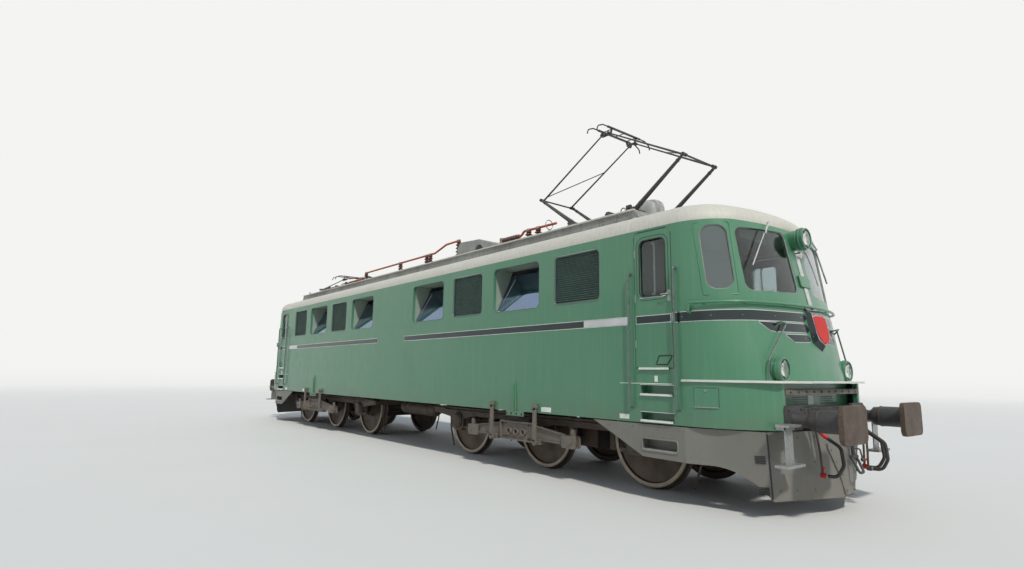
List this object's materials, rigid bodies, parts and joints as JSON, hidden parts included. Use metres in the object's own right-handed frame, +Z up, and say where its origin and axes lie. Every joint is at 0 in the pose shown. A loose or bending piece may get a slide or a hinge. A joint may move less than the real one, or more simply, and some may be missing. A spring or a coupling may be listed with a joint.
{
  "type": "electric locomotive",
  "caption": "Six-axle electric locomotive with a cab at each end, two skirted bogies, framed buffers and two folding diamond pantographs on the roof.",
  "frame": {"origin": "centre of the footprint at the height of the wheel flanges' tips", "axes": "+X along the vehicle towards the front cab, +Y to its left side, +Z up"},
  "size_m": [18.4, 3.112, 5.7499],
  "materials": {
    "beam_grey": "grey-brown dusty paint",
    "body_green": "satin dark green coach enamel",
    "buffer_grey": "grey paint",
    "buffer_rust": "greased and rusty steel",
    "conductor": "orange-red paint",
    "coupler_steel": "dark greased steel",
    "frame_grey": "dark grey paint under brake dust",
    "glass": "flat clear glass",
    "hood_grey": "pale grey paint",
    "insulator": "brown glazed porcelain",
    "interior": "pale grey-green paint",
    "lamp": "clear lens in a green painted housing",
    "ledge_white": "white paint",
    "louvre_dark": "dark grey-green paint",
    "machine_grey": "grey paint",
    "panto_steel": "weathered dark steel",
    "polished": "polished aluminium",
    "roof_cream": "light grey-cream roof paint",
    "roof_grey": "weathered grey roof paint",
    "skirt_grey": "dark grey paint",
    "wheel_steel": "brake-dusted steel with bright treads"
  },
  "bodies": {
    "carbody": {"aprons": "body_green", "buffer_heads": "buffer_rust", "buffer_shanks": "buffer_grey", "cab_bulkheads": "interior", "cab_glazing": "glass", "cab_roofs": "roof_cream", "cab_shell_front": "body_green", "cab_shell_rear": "body_green", "door_handrails": "polished", "door_surrounds": "body_green", "drawhooks": "coupler_steel", "driving_desks": "interior", "front_ledges": "ledge_white", "headlamps": "lamp", "machine_roof": "roof_cream", "pantograph_bases": "panto_steel", "raised_roof": "roof_grey", "roof_conductor": "conductor", "roof_hood": "hood_grey", "roof_insulators": "insulator", "shaft_hoods": "hood_grey", "side_glazing": "glass", "side_louvres": "louvre_dark", "side_walls": "body_green", "spring_beams": "beam_grey", "transformer": "machine_grey", "underframe": "frame_grey"},
    "bogie_front": {"bogie_frame_front": "frame_grey", "bogie_skirt_front": "skirt_grey", "traction_motors_front": "machine_grey"},
    "wheelset_front_1": {"wheelset_front_1": "wheel_steel"},
    "wheelset_front_2": {"wheelset_front_2": "wheel_steel"},
    "wheelset_front_3": {"wheelset_front_3": "wheel_steel"},
    "cab_door_front_right": {"cab_door_front_right": "body_green"},
    "cab_door_front_left": {"cab_door_front_left": "body_green"},
    "lower_arm_a_front": {"lower_arm_a_front": "panto_steel"},
    "lower_arm_b_front": {"lower_arm_b_front": "panto_steel"},
    "upper_arm_a_front": {"upper_arm_a_front": "panto_steel"},
    "upper_arm_b_front": {"upper_arm_b_front": "panto_steel"},
    "pantograph_head_front": {"pantograph_head_front": "panto_steel"},
    "bogie_rear": {"bogie_frame_rear": "frame_grey", "bogie_skirt_rear": "skirt_grey", "traction_motors_rear": "machine_grey"},
    "wheelset_rear_1": {"wheelset_rear_1": "wheel_steel"},
    "wheelset_rear_2": {"wheelset_rear_2": "wheel_steel"},
    "wheelset_rear_3": {"wheelset_rear_3": "wheel_steel"},
    "cab_door_rear_right": {"cab_door_rear_right": "body_green"},
    "cab_door_rear_left": {"cab_door_rear_left": "body_green"},
    "lower_arm_a_rear": {"lower_arm_a_rear": "panto_steel"},
    "lower_arm_b_rear": {"lower_arm_b_rear": "panto_steel"},
    "upper_arm_a_rear": {"upper_arm_a_rear": "panto_steel"},
    "upper_arm_b_rear": {"upper_arm_b_rear": "panto_steel"},
    "pantograph_head_rear": {"pantograph_head_rear": "panto_steel"}
  },
  "joints": [
    {"name": "bogie_turn_front", "type": "hinge", "parent": "carbody", "child": "bogie_front", "pos_m": [4.35, 0, 0.95], "axis": [0, 0, 1], "range_deg": [-3, 3]},
    {"name": "wheelset_spin_front_1", "type": "hinge", "parent": "bogie_front", "child": "wheelset_front_1", "pos_m": [6.5, 0, 0.66], "axis": [0, 1, 0], "continuous": true},
    {"name": "wheelset_spin_front_2", "type": "hinge", "parent": "bogie_front", "child": "wheelset_front_2", "pos_m": [4.35, 0, 0.66], "axis": [0, 1, 0], "continuous": true},
    {"name": "wheelset_spin_front_3", "type": "hinge", "parent": "bogie_front", "child": "wheelset_front_3", "pos_m": [2.2, 0, 0.66], "axis": [0, 1, 0], "continuous": true},
    {"name": "door_front_right", "type": "hinge", "parent": "carbody", "child": "cab_door_front_right", "pos_m": [6.828, -1.435, 2.5], "axis": [0, 0, 1], "range_deg": [0, 88]},
    {"name": "door_front_left", "type": "hinge", "parent": "carbody", "child": "cab_door_front_left", "pos_m": [6.828, 1.435, 2.5], "axis": [0, 0, -1], "range_deg": [0, 88]},
    {"name": "panto_lift_front", "type": "hinge", "parent": "carbody", "child": "lower_arm_a_front", "pos_m": [6.008, 0, 4.154], "axis": [0, 1, 0], "range_deg": [0, 31.7]},
    {"name": "panto_lower_b_front", "type": "hinge", "parent": "carbody", "child": "lower_arm_b_front", "pos_m": [4.708, 0, 4.154], "axis": [0, 1, 0], "range_deg": [-31.8, 0]},
    {"name": "panto_upper_a_front", "type": "hinge", "parent": "lower_arm_a_front", "child": "upper_arm_a_front", "pos_m": [6.927, 0, 4.816], "axis": [0, 1, 0], "range_deg": [-56.23, 0]},
    {"name": "panto_upper_b_front", "type": "hinge", "parent": "lower_arm_b_front", "child": "upper_arm_b_front", "pos_m": [3.789, 0, 4.816], "axis": [0, 1, 0], "range_deg": [0, 56.23]},
    {"name": "panto_head_front", "type": "hinge", "parent": "upper_arm_a_front", "child": "pantograph_head_front", "pos_m": [5.428, 0, 5.65], "axis": [0, 1, 0], "range_deg": [0, 24.52]},
    {"name": "bogie_turn_rear", "type": "hinge", "parent": "carbody", "child": "bogie_rear", "pos_m": [-4.35, 0, 0.95], "axis": [0, 0, 1], "range_deg": [-3, 3]},
    {"name": "wheelset_spin_rear_1", "type": "hinge", "parent": "bogie_rear", "child": "wheelset_rear_1", "pos_m": [-6.5, 0, 0.66], "axis": [0, 1, 0], "continuous": true},
    {"name": "wheelset_spin_rear_2", "type": "hinge", "parent": "bogie_rear", "child": "wheelset_rear_2", "pos_m": [-4.35, 0, 0.66], "axis": [0, 1, 0], "continuous": true},
    {"name": "wheelset_spin_rear_3", "type": "hinge", "parent": "bogie_rear", "child": "wheelset_rear_3", "pos_m": [-2.2, 0, 0.66], "axis": [0, 1, 0], "continuous": true},
    {"name": "door_rear_right", "type": "hinge", "parent": "carbody", "child": "cab_door_rear_right", "pos_m": [-6.828, -1.435, 2.5], "axis": [0, 0, -1], "range_deg": [0, 88]},
    {"name": "door_rear_left", "type": "hinge", "parent": "carbody", "child": "cab_door_rear_left", "pos_m": [-6.828, 1.435, 2.5], "axis": [0, 0, 1], "range_deg": [0, 88]},
    {"name": "panto_lift_rear", "type": "hinge", "parent": "carbody", "child": "lower_arm_a_rear", "pos_m": [-4.708, 0, 4.154], "axis": [0, 1, 0], "range_deg": [-31.7, 0]},
    {"name": "panto_lower_b_rear", "type": "hinge", "parent": "carbody", "child": "lower_arm_b_rear", "pos_m": [-6.008, 0, 4.154], "axis": [0, 1, 0], "range_deg": [0, 31.8]},
    {"name": "panto_upper_a_rear", "type": "hinge", "parent": "lower_arm_a_rear", "child": "upper_arm_a_rear", "pos_m": [-3.57824, 0, 4.23433], "axis": [0, 1, 0], "range_deg": [0, 56.23]},
    {"name": "panto_upper_b_rear", "type": "hinge", "parent": "lower_arm_b_rear", "child": "upper_arm_b_rear", "pos_m": [-7.13776, 0, 4.23433], "axis": [0, 1, 0], "range_deg": [-56.23, 0]},
    {"name": "panto_head_rear", "type": "hinge", "parent": "upper_arm_a_rear", "child": "pantograph_head_rear", "pos_m": [-5.28795, 0, 4.37385], "axis": [0, 1, 0], "range_deg": [-24.52, 0]}
  ],
  "couplings": [
    {"joint": "panto_lower_b_front", "follows": "panto_lift_front", "ratio": -1},
    {"joint": "panto_upper_a_front", "follows": "panto_lift_front", "ratio": -1.7705},
    {"joint": "panto_upper_b_front", "follows": "panto_lift_front", "ratio": 1.7705},
    {"joint": "panto_head_front", "follows": "panto_lift_front", "ratio": 0.7705},
    {"joint": "panto_lower_b_rear", "follows": "panto_lift_rear", "ratio": -1},
    {"joint": "panto_upper_a_rear", "follows": "panto_lift_rear", "ratio": -1.7705},
    {"joint": "panto_upper_b_rear", "follows": "panto_lift_rear", "ratio": 1.7705},
    {"joint": "panto_head_rear", "follows": "panto_lift_rear", "ratio": 0.7705}
  ]
}
